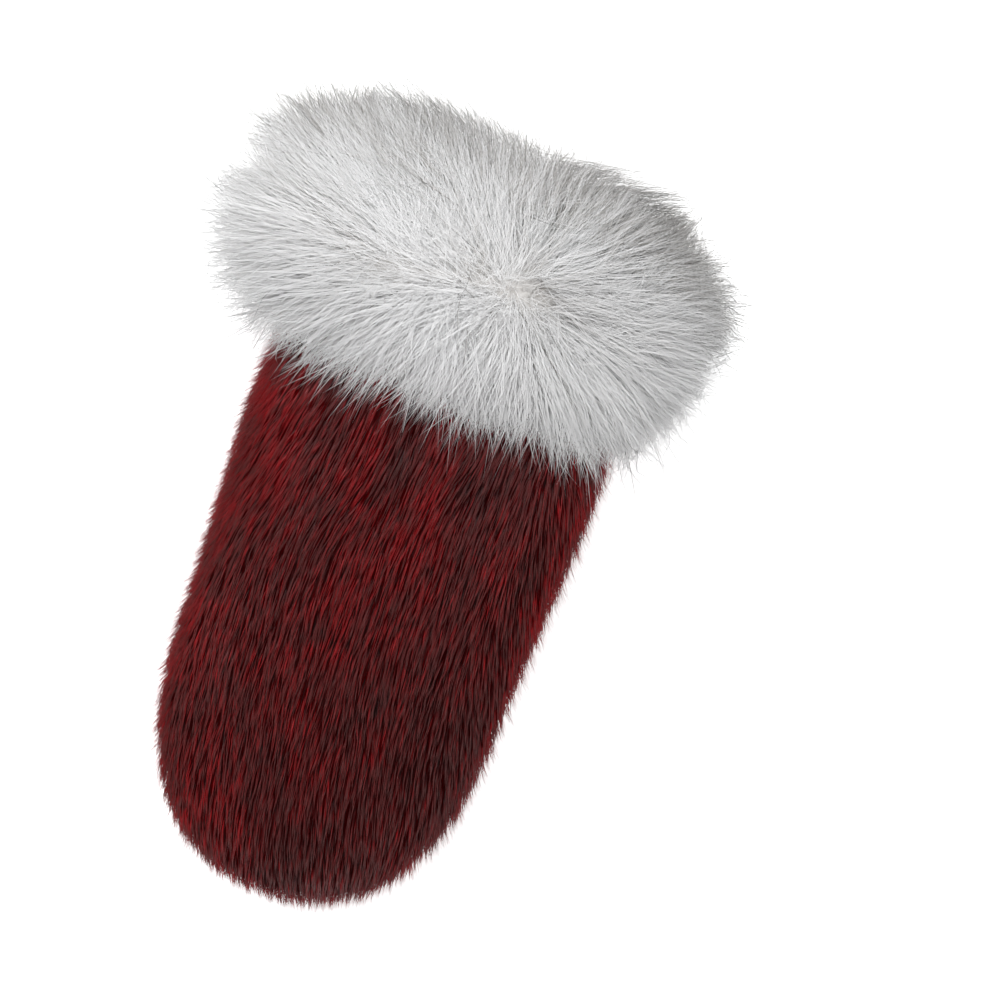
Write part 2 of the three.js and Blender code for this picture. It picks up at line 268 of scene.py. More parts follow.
TONE_PATCHES = [
    {"x": 9, "y": 17, "wide": 5, "long": 15, "tone": 0.26},
    {"x": 22, "y": 11, "wide": 4, "long": 11, "tone": 0.18},
    {"x": 43, "y": 2, "wide": 5, "long": 17, "tone": 0.24},
    {"x": 63, "y": -16, "wide": 5, "long": 20, "tone": 0.24},
    {"x": -48, "y": 26, "wide": 10, "long": 20, "tone": 0.20},
    {"x": -18, "y": 32, "wide": 7, "long": 18, "tone": 0.22},
    {"x": -4, "y": -20, "wide": 6, "long": 20, "tone": 0.16},
    {"x": -35, "y": -108, "wide": 10, "long": 16, "tone": 0.14},
    {"x": 59, "y": 36, "wide": 6, "long": 12, "tone": 0.20},
    {"x": -4, "y": 33, "wide": 6, "long": 16, "tone": -0.24},
    {"x": 28, "y": 20, "wide": 7, "long": 18, "tone": -0.22},
    {"x": 52, "y": 22, "wide": 8, "long": 18, "tone": -0.24},
    {"x": 52, "y": -38, "wide": 9, "long": 26, "tone": -0.16},
    {"x": 33, "y": -30, "wide": 7, "long": 22, "tone": -0.10},
    {"x": 16, "y": -122, "wide": 16, "long": 18, "tone": -0.12},
    {"x": 38, "y": -80, "wide": 14, "long": 26, "tone": -0.14},
    {"x": -46, "y": -98, "wide": 6, "long": 12, "tone": -0.10},
]


def drift(points, scale, seed):
    """Slow random values over space, about -1 to 1, which repeat in no direction. Scale is their size."""
    waves = 16
    draw = np.random.default_rng(seed)
    heading = draw.normal(size=(waves, 3))
    heading /= np.linalg.norm(heading, axis=1, keepdims=True)
    pitch = draw.uniform(0.6, 1.7, waves) * 2 * math.pi / scale
    phase = draw.uniform(0, 2 * math.pi, waves)
    return np.sin(points @ (heading * pitch[:, None]).T + phase).sum(axis=1) / math.sqrt(waves)


def unit(vectors):
    return vectors / np.maximum(np.linalg.norm(vectors, axis=-1, keepdims=True), 1e-12)


def triangles_of(piece):
    """The corners of a piece's triangles, as (triangle, corner, xyz)."""
    mesh = piece.data
    mesh.calc_loop_triangles()
    places = np.empty(len(mesh.vertices) * 3)
    mesh.vertices.foreach_get("co", places)
    corners = np.empty(len(mesh.loop_triangles) * 3, dtype=np.int32)
    mesh.loop_triangles.foreach_get("vertices", corners)
    return places.reshape(-1, 3)[corners].reshape(-1, 3, 3)


def tree_of(*pieces):
    """One search tree over the triangles of some pieces."""
    corners = np.concatenate([triangles_of(piece) for piece in pieces])
    faces = np.arange(len(corners) * 3).reshape(-1, 3)
    return BVHTree.FromPolygons(corners.reshape(-1, 3).tolist(), faces.tolist())


def outer_triangles(piece, tree):
    """The triangles that face outwards: a ray from them leaves without meeting the inside of a wall."""
    start, reach = 0.6 * MM, 90 * MM
    corners = triangles_of(piece)
    normals = unit(np.cross(corners[:, 1] - corners[:, 0], corners[:, 2] - corners[:, 0]))
    middles = corners.mean(axis=1)
    seen = [
        tree.ray_cast(Vector(middle + normal * start), Vector(normal), reach)[0] is None
        for middle, normal in zip(middles, normals)
    ]
    return corners[np.array(seen)]


def scatter(corners, count, draw):
    """Random places spread evenly over triangles, with the normals there."""
    crosses = np.cross(corners[:, 1] - corners[:, 0], corners[:, 2] - corners[:, 0])
    areas = np.linalg.norm(crosses, axis=1)
    chosen = draw.choice(len(corners), size=count, p=areas / areas.sum())
    a, b = draw.random((2, count))
    a, b = np.where(a + b > 1, 1 - a, a), np.where(a + b > 1, 1 - b, b)
    first, second, third = np.moveaxis(corners[chosen], 1, 0)
    places = first + a[:, None] * (second - first) + b[:, None] * (third - first)
    return places, unit(crosses[chosen])


def gatherer(places, share, draw):
    """For each hair, the nearest of the few that the others gather round."""
    leaders = draw.choice(len(places), size=int(len(places) * share), replace=False)
    tree = KDTree(len(leaders))
    for number, leader in enumerate(leaders):
        tree.insert(Vector(places[leader]), number)
    tree.balance()
    return leaders[[tree.find(Vector(place))[1] for place in places]]


ROOT_MARK = 0.06               # a strand's map runs from its root at this height
BODY_MARKS = 0.9
TIP_MARK = 0.98


def strand_piece(name, paths, widths, tones, facing, coat):
    """A mesh of closed three-sided strands that taper to a point. Paths are (strand, ring, xyz), and widths
    have a value for each ring but the tip. The map OFBake holds a strand's tone and the way along it. Light
    falls on strands as on a soft coat, so their normals lean to the coat's, and more the longer these are."""
    count, rings, _ = paths.shape
    body = rings - 1
    along = unit(np.gradient(paths, axis=1))
    chord = unit(paths[:, -1] - paths[:, 0])
    askew = np.cross(chord, facing + 0.2 * np.roll(chord, 1, axis=1))[:, None, :]
    side = unit(askew - along * (askew * along).sum(axis=2, keepdims=True))
    up = np.cross(side, along)
    turns = np.radians([90, 210, 330])
    spread = np.cos(turns)[:, None] * side[:, :body, None, :] + np.sin(turns)[:, None] * up[:, :body, None, :]
    rims = paths[:, :body, None, :] + spread * widths[:, :body, None, None] / 2
    places = np.concatenate([rims.reshape(count, body * 3, 3), paths[:, -1:, :]], axis=1)
    own = np.concatenate([spread.reshape(count, body * 3, 3), along[:, -1:, :]], axis=1)
    shaded = unit(own + np.concatenate([np.repeat(coat[:, :body], 3, axis=1), coat[:, -1:]], axis=1))
    faces = [[0, 1, 2]]
    marks = [[(0.0, 0.0), (1.0, 0.0), (0.5, ROOT_MARK)]]
    for ring in range(body - 1):
        for k in range(3):
            a, b = ring * 3 + k, ring * 3 + (k + 1) % 3
            faces.append([a, a + 3, b + 3, b])
            low, high = ROOT_MARK + BODY_MARKS * ring / body, ROOT_MARK + BODY_MARKS * (ring + 1) / body
            marks.append([(k / 3, low), (k / 3, high), ((k + 1) / 3, high), ((k + 1) / 3, low)])
    for k in range(3):
        a, b = (body - 1) * 3 + k, (body - 1) * 3 + (k + 1) % 3
        faces.append([a, body * 3, b])
        low = ROOT_MARK + BODY_MARKS * (body - 1) / body
        marks.append([(k / 3, low), ((k + 0.5) / 3, TIP_MARK), ((k + 1) / 3, low)])
    sizes = np.array([len(face) for face in faces])
    corners = np.concatenate(faces)
    order = corners[None, :] + (np.arange(count) * (body * 3 + 1))[:, None]
    mesh = bpy.data.meshes.new(name)
    mesh.vertices.add(count * (body * 3 + 1))
    mesh.vertices.foreach_set("co", places.astype(np.float32).ravel())
    mesh.loops.add(order.size)
    mesh.loops.foreach_set("vertex_index", order.astype(np.int32).ravel())
    totals = np.tile(sizes, count)
    mesh.polygons.add(len(totals))
    starts = np.concatenate([[0], np.cumsum(totals)[:-1]])
    mesh.polygons.foreach_set("loop_start", starts.astype(np.int32))
    mesh.polygons.foreach_set("loop_total", totals.astype(np.int32))
    mesh.update(calc_edges=True)
    mesh.polygons.foreach_set("use_smooth", np.ones(len(totals), dtype=bool))
    mesh.normals_split_custom_set_from_vertices(shaded.reshape(-1, 3).tolist())
    flat = np.array([mark for face in marks for mark in face])
    across = np.clip(tones, 0.0, 1.0)[:, None] * 0.98 + 0.005 + flat[None, :, 0] * 0.01
    lengthwise = np.broadcast_to(flat[None, :, 1], across.shape)
    chart = mesh.uv_layers.new(name="OFBake")
    chart.data.foreach_set("uv", np.stack([across, lengthwise], axis=-1).astype(np.float32).ravel())
    piece = bpy.data.objects.new(name, mesh)
    bpy.context.collection.objects.link(piece)
    return piece


TURN_AT_TIP = np.radians(18)
TURN_AT_RIM = np.radians(24)
TURN_ON_BACK = np.radians(5)
SLOW_TURN = np.radians(3)
QUICK_TURN = np.radians(2)


def hand_flow(points, seed):
    """The way the hair lies at each place on the hand, before it is laid along the skin: a little outwards on
    the upper back, towards the thumb side near the tip, and out over the thumb side's rim."""
    y = points[:, 1] / MM
    x = points[:, 0] / MM
    turn = TURN_AT_TIP * np.clip(-y / 145, 0, 1) + TURN_AT_RIM * np.clip((x - 42) / 20, 0, 1)
    turn -= TURN_ON_BACK * np.clip((y + 50) / 60, 0, 1) * np.clip((35 - x) / 30, 0, 1)
    turn += SLOW_TURN * drift(points, 45 * MM, seed) + QUICK_TURN * drift(points, 14 * MM, seed + 1)
    return np.stack([np.sin(turn), -np.cos(turn), np.zeros(len(points))], axis=1)


def rim_share(normals):
    """0 where a skin faces up or down and 1 at its rim, where the hair is seen from the side."""
    return np.clip(1 - np.abs(normals[:, 2]) / RIM_SLOPE, 0, 1)


def laid_hair(corners, tree, hair, draw, seed):
    """Paths of short hairs that lie along a skin, rise from it towards their tips and gather in streaks."""
    count, rings = hair["count"], hair["rings"]
    roots, normals = scatter(corners, count, draw)
    bowed = roots.copy()
    bowed[:, 0] -= STREAK_BOW * np.minimum(roots[:, 1] / MM, 0) ** 2 * MM
    leaders = gatherer(bowed * STREAK_SQUEEZE, STREAK_SHARE, draw)
    rim = rim_share(normals)[:, None]
    unrest = draw.normal(scale=HAIR_UNREST, size=(count, 3)) * (1, 1, 0.4) * (1 + 3 * rim)
    flow = hand_flow(roots, seed) + unrest
    flow += draw.normal(scale=STREAK_UNREST, size=(count, 3))[leaders]
    against = (flow * normals).sum(axis=1, keepdims=True)
    flow = unit(flow - normals * np.where(against > 0, LAID_DOWN * against, against))
    flow = unit(flow + normals * hair["flare"] * draw.random((count, 1)))
    reach = hair["length"] * MM * draw.uniform(*LENGTH_RANGE, count) * (1 - RIM_SHORTER * rim[:, 0])
    reach *= 1 - TIP_SHORTER * np.clip((-roots[:, 1] / MM - TIP_START) / TIP_LENGTH, 0, 1)
    lift = draw.uniform(*LIFT_RANGE, count) + draw.uniform(0, STREAK_LIFT, count)[leaders]
    rise = hair["lift"] * MM * lift
    hug = np.where(np.abs(normals[:, 2]) < SIDE_FACING, HUG["side"], HUG["flat"])[:, None]
    paths = np.empty((count, rings, 3))
    paths[:, 0] = roots - normals * ROOT_DEPTH * MM
    for ring in range(1, rings):
        way = ring / (rings - 1)
        straight = roots + flow * (reach * way)[:, None]
        near = [tree.find_nearest(Vector(place)) for place in straight]
        skin_places = np.array([hit[0] for hit in near])
        skin_normals = np.array([hit[1] for hit in near])
        height = (rise * way ** 0.7)[:, None]
        followed = skin_places + skin_normals * height
        paths[:, ring] = hug * followed + (1 - hug) * (straight + normals * height)
    ways = ROOT_GATHER + (1 - ROOT_GATHER) * np.linspace(0, 1, rings)[None, :, None]
    pull = paths[leaders] - paths
    pull -= flow[:, None] * (pull * flow[:, None]).sum(axis=2, keepdims=True)
    paths += pull * draw.uniform(*STREAK_PULL, count)[:, None, None] * ways * (1 - RIM_LOOSER * rim[:, None])
    paths[:, 1:, 2] = np.maximum(paths[:, 1:, 2], draw.uniform(*FLOOR_GAP, (count, rings - 1)) * MM)
    paths[:, 0, 2] = np.maximum(paths[:, 0, 2], ROOT_DEPTH * MM)
    return paths, normals, leaders


def hand_tones(paths, normals, leaders, base, draw):
    """How bright each hair is, from 0 for brown-black to 1 for bright red. Rims are raised as painted light,
    standing in for light through the hair at the edges.
    """
    roots = paths[:, 0]
    tones = base + draw.normal(scale=HAIR_TONE, size=len(roots))
    tones = tones + draw.normal(scale=STREAK_TONE, size=len(roots))[leaders]
    tones += 0.09 * drift(roots * (1, 0.2, 1), 7 * MM, 71) + 0.07 * drift(roots * (1, 0.4, 1), 26 * MM, 72)
    for patch in TONE_PATCHES:
        x = (roots[:, 0] / MM - patch["x"]) / patch["wide"]
        y = (roots[:, 1] / MM - patch["y"]) / patch["long"]
        tones += PATCH_STRENGTH * patch["tone"] * np.exp(-(x * x + y * y) / 2) * (normals[:, 2] > 0)
    return tones + RIM_PAINTED_LIGHT * np.clip(1 - normals[:, 2] / RIM_SLOPE, 0, 1)


def strand_colour_group():
    """Colour along strands from their map: tone across it and root to tip up it."""
    group = bpy.data.node_groups.new("strand_colour", "ShaderNodeTree")
    for name in ["Dark", "Middle", "Bright", "Tip"]:
        group.interface.new_socket(name, in_out="INPUT", socket_type="NodeSocketColor")
    for name in ["Root Shade", "Tip Amount"]:
        group.interface.new_socket(name, in_out="INPUT", socket_type="NodeSocketFloat")
    group.interface.new_socket("Colour", in_out="OUTPUT", socket_type="NodeSocketColor")
    group.interface.new_socket("Lightness", in_out="OUTPUT", socket_type="NodeSocketFloat")
    nodes = group.nodes
    links = group.links
    given = nodes.new("NodeGroupInput")
    result = nodes.new("NodeGroupOutput")
    chart = nodes.new("ShaderNodeUVMap")
    chart.uv_map = "OFBake"
    split = nodes.new("ShaderNodeSeparateXYZ")
    links.new(chart.outputs["UV"], split.inputs["Vector"])

    def ranged(source, low, high, start, end):
        node = nodes.new("ShaderNodeMapRange")
        node.interpolation_type = "SMOOTHSTEP"
        node.inputs["From Min"].default_value = low
        node.inputs["From Max"].default_value = high
        node.inputs["To Min"].default_value = start
        node.inputs["To Max"].default_value = end
        links.new(source, node.inputs["Value"])
        return node

    def mixed(kind, factor, first, second):
        node = nodes.new("ShaderNodeMix")
        node.data_type = "RGBA"
        node.blend_type = kind
        if isinstance(factor, float):
            node.inputs["Factor"].default_value = factor
        else:
            links.new(factor, node.inputs["Factor"])
        links.new(first, node.inputs["A"])
        links.new(second, node.inputs["B"])
        return node

    low = mixed("MIX", ranged(split.outputs["X"], 0.02, 0.5, 0, 1).outputs["Result"],
                given.outputs["Dark"], given.outputs["Middle"])
    full = mixed("MIX", ranged(split.outputs["X"], 0.5, 0.98, 0, 1).outputs["Result"],
                 low.outputs["Result"], given.outputs["Bright"])
    # Towards the root the colour is darkened by Root Shade: painted shade deep among the hairs.
    root = ranged(split.outputs["Y"], 0.0, 0.45, 0, 1)
    shade = nodes.new("ShaderNodeMath")
    shade.operation = "MULTIPLY_ADD"
    rest = nodes.new("ShaderNodeMath")
    rest.operation = "SUBTRACT"
    rest.inputs[0].default_value = 1.0
    links.new(given.outputs["Root Shade"], rest.inputs[1])
    links.new(root.outputs["Result"], shade.inputs[0])
    links.new(rest.outputs["Value"], shade.inputs[1])
    links.new(given.outputs["Root Shade"], shade.inputs[2])
    darkened = mixed("MULTIPLY", 1.0, full.outputs["Result"], shade.outputs["Value"])
    # Towards the tip the colour mixes to Tip, less on brighter hairs: the hair's own tip colour, and on the
    # red hair partly a painted sheen.
    pale = nodes.new("ShaderNodeMath")
    pale.operation = "MULTIPLY"
    links.new(ranged(split.outputs["X"], 0.55, 0.95, 1, 0.2).outputs["Result"], pale.inputs[0])
    links.new(given.outputs["Tip Amount"], pale.inputs[1])
    end = nodes.new("ShaderNodeMath")
    end.operation = "MULTIPLY"
    links.new(ranged(split.outputs["Y"], 0.35, 0.95, 0, 1).outputs["Result"], end.inputs[0])
    links.new(pale.outputs["Value"], end.inputs[1])
    tipped = mixed("MIX", end.outputs["Value"], darkened.outputs["Result"], given.outputs["Tip"])
    links.new(tipped.outputs["Result"], result.inputs["Colour"])
    links.new(split.outputs["X"], result.inputs["Lightness"])
    return group


strand_colour = strand_colour_group()


def strand_material(name, colours, root_shade, tip_amount, roughness, specular):
    """Hair in one range of colours. The constant values stay on the surface's own sockets."""
    material = bpy.data.materials.new(name)
    material.use_nodes = True
    nodes = material.node_tree.nodes
    links = material.node_tree.links
    surface = nodes["Principled BSDF"]
    surface.inputs["Roughness"].default_value = roughness
    surface.inputs["Specular IOR Level"].default_value = specular
    colour = nodes.new("ShaderNodeGroup")
    colour.node_tree = strand_colour
    for socket, value in colours.items():
        colour.inputs[socket].default_value = (*value, 1)
    colour.inputs["Root Shade"].default_value = root_shade
    colour.inputs["Tip Amount"].default_value = tip_amount
    links.new(colour.outputs["Colour"], surface.inputs["Base Color"])
    return material


# The red hair's Tip colour is partly its own brown-grey tips and partly a painted greyish-pink sheen.
red_hair = strand_material(
    "red_hair",
    {"Dark": (0.036, 0.0010, 0.0015), "Middle": (0.113, 0.0018, 0.0030), "Bright": (0.33, 0.0018, 0.0055),
     "Tip": (0.205, 0.074, 0.069)},
    root_shade=0.03, tip_amount=0.6, roughness=0.40, specular=0.4,
)
# The underfur is darker than the guard hair, with a lower base tone too, as painted shade in the gaps between
# the streaks.
red_underfur = strand_material(
    "red_underfur",
    {"Dark": (0.030, 0.0008, 0.0012), "Middle": (0.090, 0.0012, 0.0022), "Bright": (0.26, 0.0012, 0.0040),
     "Tip": (0.100, 0.002, 0.003)},
    root_shade=0.03, tip_amount=0.2, roughness=0.6, specular=0.0,
)
HAND_COAT = 0.45               # how far a hair's normals lean to those of the skin
HAIR_TAPER = (0.85, 1.0)
THICKNESS_RANGE = (0.7, 1.15)
hand_tree = tree_of(back_pelt, palm_pelt)
HAND_HAIR_END = wrist_end - 3 * MM

for order, (name, hair) in enumerate(HAND_HAIR.items()):
    draw = np.random.default_rng(100 + order)
    corners = outer_triangles(hair["skin"], hand_tree)
    corners = corners[corners[:, :, 1].max(axis=1) < HAND_HAIR_END]
    upward = unit(np.cross(corners[:, 1] - corners[:, 0], corners[:, 2] - corners[:, 0]))[:, 2]
    corners = corners[np.abs(upward) <= hair["steepest"]]
    paths, normals, leaders = laid_hair(corners, hand_tree, hair, draw, 40)
    tones = hand_tones(paths, normals, leaders, hair["base"], draw)
    taper = np.linspace(*HAIR_TAPER, hair["rings"] - 1)
    fine = hair["width"] * (1 - hair["thinner"] * rim_share(normals)) * MM
    widths = (fine * draw.uniform(*THICKNESS_RANGE, len(paths)))[:, None] * taper
    coat = np.repeat(HAND_COAT * normals[:, None], hair["rings"], axis=1)
    piece = strand_piece(name, paths, widths, tones, normals, coat)
    piece.data.materials.append(red_underfur if "underfur" in name else red_hair)
    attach(piece, "root")

# The thumb is a closed tube of the same pelt, set in the palm. It is folded flat under the hand, and its hair
# lies towards its own tip.
thumb_pelt = smooth_skin("thumb", "thumb_pelt")
thumb_pelt.data.materials.append(red_leather)
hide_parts("thumb")
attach(thumb_pelt, "root")

THUMB_HAIR = {"count": 6000, "rings": 2, "length": 8.0, "lift": 1.6, "flare": 0.0, "base": 0.5,
              "width": 0.40}
draw = np.random.default_rng(120)
thumb_tree = tree_of(thumb_pelt)
corners = outer_triangles(thumb_pelt, thumb_tree)
palm_tree = tree_of(palm_pelt)
down = Vector((0, 0, -1))
outside = [palm_tree.ray_cast(Vector(middle), down)[0] is None for middle in corners.mean(axis=1)]
corners = corners[np.array(outside)]       # the root of the thumb is inside the hand
paths, normals, leaders = laid_hair(corners, thumb_tree, THUMB_HAIR, draw, 60)
tones = hand_tones(paths, normals, leaders, THUMB_HAIR["base"], draw)
widths = THUMB_HAIR["width"] * MM * draw.uniform(*THICKNESS_RANGE, len(paths))[:, None]
coat = np.repeat(HAND_COAT * normals[:, None], THUMB_HAIR["rings"], axis=1)
thumb_hair = strand_piece("thumb_hair", paths, widths, tones, normals, coat)
thumb_hair.data.materials.append(red_hair)
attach(thumb_hair, "root")

# The cuff is a band of long-haired white fur sewn round the wrist. Its leather and dense underfur are a thick
# oval ring that continues the hand, open for the wrist.
BAND_START = wrist_end + 0.4 * MM
BAND_LENGTH = 61.5 * MM
WRIST_HALF = 62.5 * MM
WRIST_MIDDLE_Z = 31.5 * MM
WRIST_HALF_HEIGHT = 20 * MM
BAND_WALL = 3.5 * MM
UNDERFUR = {"side": 17 * MM, "top": 10.5 * MM}
BAND_SIDES = 72
BAND_CUTS = 11
SAME_PLACE = 0.1 * MM


def oval_tube(name, swell_side, swell_top, inset):
    """An open oval tube along the wrist, swollen by up to the given amounts halfway along it."""
    middle_y = BAND_START + BAND_LENGTH / 2
    bpy.ops.mesh.primitive_cylinder_add(
        vertices=BAND_SIDES, radius=1.0, depth=BAND_LENGTH, end_fill_type="NOTHING",
        location=(0, middle_y, 0), rotation=(math.radians(90), 0, 0),
    )
    tube = bpy.context.object
    tube.name = name
    bpy.ops.object.transform_apply(location=True, rotation=True, scale=True)
    bpy.ops.object.mode_set(mode="EDIT")
    bpy.ops.mesh.select_mode(type="EDGE")
    bpy.ops.mesh.select_all(action="DESELECT")
    bpy.ops.object.mode_set(mode="OBJECT")
    for edge in tube.data.edges:
        ends = [tube.data.vertices[v].co.y for v in edge.vertices]
        edge.select = abs(ends[0] - ends[1]) > 0.5 * BAND_LENGTH
    bpy.ops.object.mode_set(mode="EDIT")
    bpy.ops.mesh.subdivide(number_cuts=BAND_CUTS)
    bpy.ops.mesh.select_mode(type="VERT")
    bpy.ops.object.mode_set(mode="OBJECT")
    for step in range(BAND_CUTS + 2):
        y = BAND_START + BAND_LENGTH * step / (BAND_CUTS + 1)
        swell = math.sqrt(max(0.0, 1 - (2 * step / (BAND_CUTS + 1) - 1) ** 2))
        bpy.ops.object.mode_set(mode="EDIT")
        bpy.ops.mesh.select_all(action="DESELECT")
        bpy.ops.object.mode_set(mode="OBJECT")
        for vertex in tube.data.vertices:
            vertex.select = abs(vertex.co.y - y) < SAME_PLACE
        bpy.ops.object.mode_set(mode="EDIT")
        size = (WRIST_HALF - inset + swell_side * swell, 1, WRIST_HALF_HEIGHT - inset + swell_top * swell)
        bpy.ops.transform.resize(value=size, center_override=(0, y, 0))
        bpy.ops.transform.translate(value=(0, 0, WRIST_MIDDLE_Z))
        bpy.ops.object.mode_set(mode="OBJECT")
    return tube


band_outside = oval_tube("cuff_band", UNDERFUR["side"], UNDERFUR["top"], 0.0)
band_inside = oval_tube("cuff_band_inside", 0.0, 0.0, BAND_WALL)
bpy.ops.object.mode_set(mode="EDIT")
bpy.ops.mesh.select_all(action="SELECT")
bpy.ops.mesh.flip_normals()
bpy.ops.object.mode_set(mode="OBJECT")
bpy.ops.object.select_all(action="DESELECT")
band_inside.select_set(True)
band_outside.select_set(True)
bpy.context.view_layer.objects.active = band_outside
bpy.ops.object.join()
cuff_band = bpy.context.object
bpy.ops.object.mode_set(mode="EDIT")
for end_y in (BAND_START, BAND_START + BAND_LENGTH):
    bpy.ops.mesh.select_mode(type="EDGE")
    bpy.ops.mesh.select_all(action="DESELECT")
    bpy.ops.object.mode_set(mode="OBJECT")
    for edge in cuff_band.data.edges:
        ends = [cuff_band.data.vertices[v].co.y for v in edge.vertices]
        edge.select = all(abs(y - end_y) < SAME_PLACE for y in ends)
    bpy.ops.object.mode_set(mode="EDIT")
    bpy.ops.mesh.bridge_edge_loops()
bpy.ops.mesh.select_all(action="SELECT")
bpy.ops.mesh.normals_make_consistent(inside=False)
bpy.ops.object.mode_set(mode="OBJECT")
bpy.ops.object.shade_smooth()
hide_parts("fur_cuff")
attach(cuff_band, "root")
# The band is greyer than the white hair: painted shade deep among the hairs.
white_underfur = pelt_material("white_underfur", dark=(0.50, 0.48, 0.46), bright=(0.72, 0.705, 0.69),
                               scale=700.0, stretch=0.8, depth=0.1)
cuff_band.data.materials.append(white_underfur)

# The long hair of the cuff, 45 mm and silky, parts along a short line on the top and sweeps away from it all
# round, over the hand, past the sides and beyond the opening. It gathers in soft loose tufts. A few hairs are
# dark, and above the rear of the opening the hair is grey-brown and crosses.
PARTING_ENDS = np.array([[14, 96, 0], [-34, 88, 0]]) * MM      # the hair swirls round the first end
CREST = np.array([-58, 98, 0]) * MM      # the left shoulder, where the hair stands up and falls to both sides
HOLLOWS = [
    {"x": 20, "y": 97, "wide": 5.0, "long": 2.2},
    {"x": -2, "y": 97, "wide": 3.5, "long": 1.8},
    {"x": 34, "y": 103, "wide": 4.0, "long": 1.6},
    {"x": -33, "y": 89, "wide": 4.5, "long": 1.8},
    {"x": -45, "y": 93, "wide": 3.0, "long": 1.6},
    {"x": -58, "y": 99, "wide": 5.5, "long": 2.4},
]
OUTER_FORM = {"x": 102 * MM, "y": 51 * MM, "top": 43 * MM, "below": 35 * MM, "middle_z": 36 * MM, "plan": 3.0,
              "side": 2.8}
FORM_MIDDLE_Y = 95.5 * MM
REACH_ROUND = [
    {"bearing": -180, "reach": 1.10},
    {"bearing": -172, "reach": 1.10},
    {"bearing": -165, "reach": 1.14},
    {"bearing": -150, "reach": 1.15},
    {"bearing": -125, "reach": 1.23},
    {"bearing": -90, "reach": 1.26},
    {"bearing": -45, "reach": 1.24},
    {"bearing": -27, "reach": 1.06},
    {"bearing": -9, "reach": 0.91},
    {"bearing": 30, "reach": 0.97},
    {"bearing": 60, "reach": 1.10},
    {"bearing": 90, "reach": 1.14},
    {"bearing": 112, "reach": 1.18},
    {"bearing": 124, "reach": 1.155},
    {"bearing": 135, "reach": 1.10},
    {"bearing": 146, "reach": 1.12},
    {"bearing": 155, "reach": 1.09},
    {"bearing": 161, "reach": 1.06},
    {"bearing": 172, "reach": 1.05},
]
CUFF_HAIR = {
    "cuff_hair_left": {"count": 8300, "rings": 4, "from": -120, "to": -24, "start": 0, "width": 0.17,
                       "full": 1.03, "tone": 0.93, "dark": 0.010},
    "cuff_hair_middle": {"count": 8000, "rings": 4, "from": -24, "to": 30, "start": 0, "width": 0.17,
                         "full": 1.03, "tone": 0.93, "dark": 0.010},
    "cuff_hair_right": {"count": 8300, "rings": 4, "from": 30, "to": 120, "start": 0, "width": 0.17,
                        "full": 1.03, "tone": 0.93, "dark": 0.012},
    "cuff_hair_rear": {"count": 4200, "rings": 4, "from": -74, "to": 60, "start": 115, "width": 0.14,
                       "full": 1.07, "tone": 0.50, "dark": 0.16},
    "cuff_hair_below": {"count": 5000, "rings": 3, "from": -120, "to": 120, "start": 0, "width": 0.26,
                        "full": 1.03, "tone": 0.84, "dark": 0.0},
}
UNDERFUR_HAIR = {"count": 12000, "length": 15.0, "width": 0.32, "tone": 0.88}
CUFF_TONES = {"hair": 0.025, "tuft": 0.02, "drift": 0.03}      # how far its brightness varies
# hair rooted in the hollows along the parting is darkened: painted shade in the pits
HOLLOW_PAINTED_SHADE = 0.32
REAR_DARKER = 0.33
REAR_DARK_SHARE = 0.08
DARK_TONES = (0.0, 0.2)
DARK_WIDTH = 0.16
DROOP = 14 * MM                # how far hair that reaches past the band hangs over the hand and the sides
BELOW_HEIGHT = 20 * MM         # roots lower than this belong to the hair below
TUFT_SHARE = 0.045             # leaders among the hairs, round which tufts gather
TUFT_PULL = (0.0, 0.32)
EDGE_PULL = (0.10, 0.35)       # hair that ends low, round the edge of the cuff, gathers more
TUFTS_BELOW = 58 * MM
TUFT_UNREST = 0.24
CUFF_UNREST = 0.19
TUFT_STRETCH = 0.09
OUT_REACH = 19                 # mm that hair stands off the band
FLOW_REACH = 44                # mm that it sweeps away from the parting
BEND_HEIGHT = 17               # mm that it rises before it bends over
BEND_SHARES = (0.68, 0.32)     # the bend lies between the risen hair and its tip
FULLNESS_UNREST = 0.085
FRINGE_SHARE = 0.22            # at the edge it ends in fine points of four or five hairs
FRINGE_PULL = (0.45, 0.95)
FRONT_THINNING = 0.19          # fewer of them reach all the way over the hand, so that the rest show singly
FRINGE_THICKER = 0.6
WAVE_HEIGHT = 1.7
SLOW_DRIFT = 0.34              # how much the flow turns from place to place
QUICK_DRIFT = 0.10
UNRULY = 0.24                  # and how much more it does close to the parting
CUFF_COAT = 7.0                # how far a hair's normals lean to those of the cuff's form
STRAY_SHARE = 0.09             # some hairs reach farther out than the rest
STRAY_REACH = (0.03, 0.16)
SIDE_LIMIT = 116 * MM          # no hair lies farther out than this
REAR_LIMIT = 161 * MM


def on_outer_form(points):
    """The cuff's middle, and how far each point is from it once it is moved out or in to the outer form."""
    middle = np.array([0, FORM_MIDDLE_Y, OUTER_FORM["middle_z"]])
    offset = points - middle
    height = np.where(offset[:, 2] > 0, OUTER_FORM["top"], OUTER_FORM["below"])
    plan_power, side_power = OUTER_FORM["plan"], OUTER_FORM["side"]
    plan = np.abs(offset[:, 0] / OUTER_FORM["x"]) ** plan_power
    plan = (plan + np.abs(offset[:, 1] / OUTER_FORM["y"]) ** plan_power) ** (1 / plan_power)
    size = plan ** side_power + np.abs(offset[:, 2] / height) ** side_power
    bearing = np.degrees(np.arctan2(offset[:, 1], offset[:, 0]))
    bearings = [row["bearing"] for row in REACH_ROUND]
    reach = np.interp(bearing, bearings, [row["reach"] for row in REACH_ROUND], period=360)
    offset = offset / (size ** (1 / side_power))[:, None]
    return middle, offset * np.stack([reach, reach, np.ones_like(reach)], axis=1)


